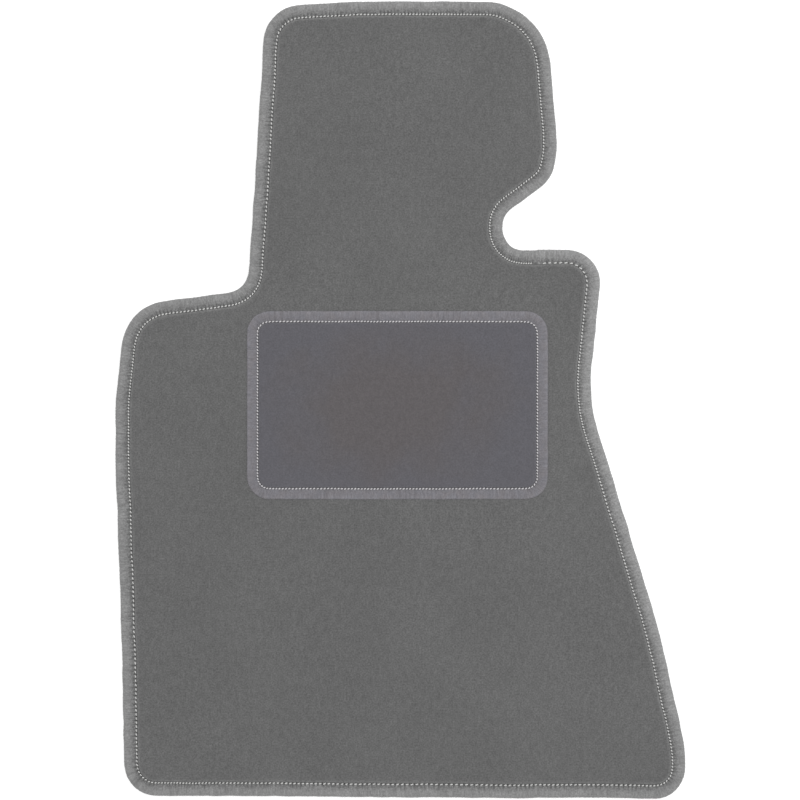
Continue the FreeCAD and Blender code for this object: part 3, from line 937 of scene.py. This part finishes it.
def ribbed_tape(name, base, cloud, seam_shading, ticks, last=None):
    """Woven tape: cross ribs that follow the edge, uneven yarns, and painted shade in the puckers at the
    needle holes.
    seam_shading lists (distance in from the outer edge, brightness): painted shading across the tape, darkest
    in the valley beside the seam where shade falls, and on the heel pad's tape lighter at the fold.
    last is (where the tape's last stretch starts, where it is in full, how much lighter it is)."""
    shader = Shader(name)
    place = shader.place()
    across = shader.map(ALONG_MAP)
    stitch = shader.split(shader.map(STITCH_MAP))
    phase, inset = stitch["X"], stitch["Y"]
    depth = seam_shading[-1][0]
    stray = shader.node("TexNoise", {"Vector": place, "Scale": 1 / (3 * MM)}).outputs["Color"]
    wavy = shader.scaled(stray, 0.6 * MM, 0.2 * MM, 0)
    along = shader.node("VectorMath", {0: across, 1: wavy}, operation="ADD").outputs[0]
    ribs = shader.wave(along, 1.15 * MM, "X", 1.5, Detail=2.0, Detail_Scale=3.0)
    yarns = shader.noise(along, 1.3 * MM, 2.0, 0.65)
    streaks = shader.noise(shader.scaled(across, 1.0, 0.28, 1.0), 1.9 * MM, 3.0, 0.65)
    broad = shader.noise(place, 9 * MM, 3.0, 0.6)
    shade = shader.ramp(broad, (0.35, base), (0.65, cloud))
    for factor, spread in ((ribs, 0.06), (streaks, 0.20), (yarns, 0.24)):
        shade = shader.times(shade, shader.uneven(factor, spread * ticks["weave"]))
    # Painted shade: the tape darkens from its fold towards the valley beside the seam
    pressed = shader.ramp(shader.math("DIVIDE", inset, depth),
                          *[(distance / depth, grey(level)) for distance, level in seam_shading])
    shade = shader.times(shade, pressed)
    if last:
        start, full, lighter = last
        late = shader.between(shader.split(across)["X"], start, full)
        shade = shader.times(shade, grey(lighter), late)
    # Crushed, uneven nap in the valley beside the seam
    crushed = shader.between(inset, depth * 0.40, depth * 0.85)
    patches = shader.noise(place, 1.7 * MM, 2.0, 0.7)
    mottle = ticks["mottle"]
    mottled = shader.ramp(patches, (0.36, grey(1 - mottle)), (0.62, grey(1 + 0.8 * mottle)))
    shade = shader.times(shade, mottled, crushed)
    # Painted shade in the puckers: a dark tick at each needle hole, each of its own length
    number = shader.math("FLOOR", shader.math("ADD", phase, 0.5))
    own = shader.node("TexWhiteNoise", {"W": number}, noise_dimensions="1D").outputs["Value"]
    near_hole = shader.between(shader.off(phase, number), 0.09, 0.25, 1.0, 0.0)
    seam, reach = ticks["seam"], ticks["reach"]
    start = shader.math("SUBTRACT", seam - reach * 0.4, shader.math("MULTIPLY", own, reach))
    deep = shader.math("POWER", shader.between(inset, start, seam), 0.6)
    pucker_shade = shader.math("MULTIPLY", shader.math("MULTIPLY", near_hole, deep), ticks["strength"])
    shade = shader.mix(pucker_shade, shade, darker(base, 0.26))
    # Painted shade in a few creases that run across the tape
    bunched = shader.noise(shader.scaled(along, 1.0, 0.06, 1.0), 7 * MM, 1.0, 0.5)
    line = shader.between(shader.off(bunched, 0.5), 0.0, 0.030, 1.0, 0.0)
    where = shader.between(shader.noise(place, 26 * MM, 1.0, 0.5), 0.48, 0.62)
    crease_shade = shader.math("MULTIPLY", shader.math("MULTIPLY", line, where), ticks["crease_shade"])
    shade = shader.mix(crease_shade, shade, darker(base, 0.40))
    coarse = shader.bump(streaks, 0.6 * MM, 0.5)
    fine = shader.bump(ribs, 0.18 * MM, 0.7, coarse)
    return shader.finish(Base_Color=shade, Roughness=shader.spread(yarns, 0.70, 0.92),
                         Specular_IOR_Level=0.25, Sheen_Weight=0.12,
                         Normal=shader.bump(yarns, 0.3 * MM, 0.6, fine))


def twisted_thread(name, base, shadow):
    """Plied thread: slanting plies along its length, with slightly fuzzy, uneven brightness."""
    shader = Shader(name)
    slanted = shader.node("VectorRotate", {"Vector": shader.map(ALONG_MAP), "Angle": 0.75},
                          rotation_type="Z_AXIS").outputs[0]
    plies = shader.wave(slanted, 0.55 * MM, "X", 0.6)
    fuzz = shader.noise(shader.place(), 0.5 * MM, 2.0, 0.5)
    shade = shader.ramp(plies, (0.1, shadow), (0.8, base))
    return shader.finish(Base_Color=shader.times(shade, shader.uneven(fuzz, 0.05)), Sheen_Weight=0.15,
                         Roughness=shader.spread(fuzz, 0.50, 0.75), Normal=shader.bump(plies, 0.12 * MM, 0.6))


def woven_backing(name, base, cloud):
    """Coarse plain weave of flat yarns."""
    shader = Shader(name)
    place = shader.place()
    weave = shader.math("MULTIPLY", *[shader.wave(place, 2.4 * MM, axis, 0.5) for axis in "XY"])
    grain = shader.noise(place, 6 * MM, 3.0, 0.6)
    shade = shader.ramp(weave, (0.1, cloud), (0.7, base))
    return shader.finish(Base_Color=shader.times(shade, shader.uneven(grain, 0.12)),
                         Roughness=shader.spread(grain, 0.78, 0.95), Normal=shader.bump(weave, 0.3 * MM, 0.6))


def moulded_rubber(name, base, dust):
    """Matt black rubber with a fine moulded grain and a little dust in it."""
    shader = Shader(name)
    place = shader.place()
    cells = shader.node("TexVoronoi", {"Vector": place, "Scale": 1 / (0.9 * MM)}).outputs["Distance"]
    dusty = shader.noise(place, 45 * MM, 4.0, 0.6)
    shade = shader.ramp(dusty, (0.40, base), (0.75, dust))
    return shader.finish(Base_Color=shader.times(shade, shader.uneven(cells, 0.10)), Specular_IOR_Level=0.35,
                         Roughness=shader.spread(dusty, 0.66, 0.9), Normal=shader.bump(cells, 0.12 * MM, 0.5))


MATERIALS = {
    "velour": velour("velour", colour(101.5, 101.5, 101.5), colour(105.5, 105.5, 105.5), 110 * MM, 0.28,
                     # Painted light in the pile's valley beside the edge tape
                     rim=(TAPE["flange"], 3.8 * MM, 1.62)),
    "pad_velour": velour("pad_velour", colour(97, 93, 95), colour(97, 96, 102), 38 * MM, 0.15,
                         # Painted light in the pile's valley beside the heel pad's tape
                         rim=(PAD_TAPE["flange"], 2.0 * MM, 1.30),
                         heart=((pad_box[0].x + pad_box[1].x) / 2, (pad_box[0].y + pad_box[1].y) / 2,
                                95 * MM)),
    "edge_tape": ribbed_tape(
        "edge_tape", colour(143, 143, 143), colour(151, 151, 151),
        # Painted shade across the tape, darkest in the valley beside the seam
        [(0, 1.0), (2.5 * MM, 1.0), (4.5 * MM, 0.96), (6.5 * MM, 0.90), (8.5 * MM, 0.82), (10.3 * MM, 0.74),
         (11.3 * MM, 0.76), (12.2 * MM, 0.86), (13.3 * MM, 0.92)],
        {"seam": TAPE["seam"], "reach": 4.4 * MM, "strength": 0.62, "mottle": 0.40, "crease_shade": 0.25,
         "weave": 1.0},
        last=(0.77 * mat_edge.length, 0.83 * mat_edge.length, 1.13)),
    "pad_tape": ribbed_tape(
        "pad_tape", colour(129, 126, 130), colour(129, 128, 134),
        # Painted shading across the heel pad's tape: lighter at the fold, darker towards the seam
        [(0, 1.10), (1.5 * MM, 1.08), (3.0 * MM, 1.01), (5 * MM, 0.99), (8 * MM, 0.97), (10.6 * MM, 0.94)],
        {"seam": PAD_TAPE["seam"], "reach": 1.2 * MM, "strength": 0.42, "mottle": 0.08, "crease_shade": 0.28,
         "weave": 0.78}),
    "edge_thread": twisted_thread("edge_thread", colour(241, 241, 239), colour(212, 212, 210)),
    "pad_thread": twisted_thread("pad_thread", colour(234, 232, 234), colour(203, 201, 203)),
    "primary_backing": woven_backing("primary_backing", colour(120, 119, 116), colour(84, 83, 80)),
    "pad_backing": woven_backing("pad_backing", colour(112, 111, 112), colour(80, 79, 80)),
    "grip_sheet": moulded_rubber("grip_sheet", colour(40, 40, 41), colour(66, 65, 63)),
}
for piece in bpy.data.objects:
    if piece.get("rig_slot") in MATERIALS and piece.type == "MESH":
        piece.data.materials.clear()
        piece.data.materials.append(MATERIALS[piece["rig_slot"]])

# ===== Sizes and areas of the sheets, worked out and not kept =====


def enclosed(edge, inset):
    """Flat area inside an edge, an inset in from it."""
    return abs(signed_area(edge.place(edge.along[:-1], inset)))


def extent(edge, inset):
    """Length and width of the box round a sheet that fills an edge down to an inset."""
    line = edge.place(edge.along[:-1], inset)
    size = line.max(axis=0) - line.min(axis=0)
    return float(size[0]), float(size[1])


extent(mat_edge, 11.2 * MM)
enclosed(mat_edge, 11.2 * MM)
extent(mat_edge, SHEET_INSET)
enclosed(mat_edge, SHEET_INSET)
extent(mat_edge, SHEET_INSET)
enclosed(mat_edge, SHEET_INSET)
extent(pad_edge, 9.0 * MM)
enclosed(pad_edge, 9.0 * MM)
extent(pad_edge, PAD_SHEET_INSET)
enclosed(pad_edge, PAD_SHEET_INSET)

# ===== Floor, light and camera =====


def plain_floor():
    """White floor, just under the mat, that glows a little so that the mat's shadow stays faint."""
    shader = Shader("floor")
    clouds = shader.noise(shader.place(), 1 / 3)
    shade = shader.ramp(clouds, (NOISE_LOW, grey(0.90)), (NOISE_HIGH, grey(0.92)))
    bpy.ops.mesh.primitive_plane_add(size=12, location=(0, 0, -0.1 * MM))
    floor = bpy.context.object
    floor.name = "floor"
    floor.data.materials.append(shader.finish(Base_Color=shade, Roughness=0.9, Specular_IOR_Level=0.1,
                                              Emission_Color=grey(1), Emission_Strength=0.30))


def soft_light():
    world = bpy.data.worlds.new("studio")
    bpy.context.scene.world = world
    world.use_nodes = True
    world.node_tree.nodes["Background"].inputs["Color"].default_value = (1, 1, 1, 1)
    world.node_tree.nodes["Background"].inputs["Strength"].default_value = 0.90
    for name, place, size, power in (("key", (1.3, 1.1, 2.2), 1.2, 31), ("fill", (-1.5, -0.6, 2.4), 1.8, 11)):
        lamp = bpy.data.lights.new(name, "AREA")
        lamp.size = size
        lamp.energy = power
        lamp_object = bpy.data.objects.new(name, lamp)
        lamp_object.location = place
        lamp_object.rotation_euler = (-Vector(place)).to_track_quat("-Z", "Y").to_euler()
        bpy.context.scene.collection.objects.link(lamp_object)


# How much of the picture's height the mat fills, and how far the camera is left of and behind its middle
MAT_SHARE = 0.997625
LEFT_SHIFT = 0.15 * MM
BACK_SHIFT = 0.1 * MM


def camera_above():
    """Camera straight above, with a long lens, that frames the mat's length almost edge to edge."""
    lowest, highest = cad_bounds
    span = (highest[1] - lowest[1]) / MAT_SHARE
    data = bpy.data.cameras.new("camera")
    data.lens = 180
    data.sensor_width = 36
    camera = bpy.data.objects.new("camera", data)
    distance = span * data.lens / data.sensor_width
    camera.location = ((lowest[0] + highest[0]) / 2 - LEFT_SHIFT, (lowest[1] + highest[1]) / 2 - BACK_SHIFT,
                       PILE_TOP + distance)
    bpy.context.scene.collection.objects.link(camera)
    bpy.context.scene.camera = camera


plain_floor()
soft_light()
camera_above()
bpy.context.scene.view_settings.view_transform = "Standard"
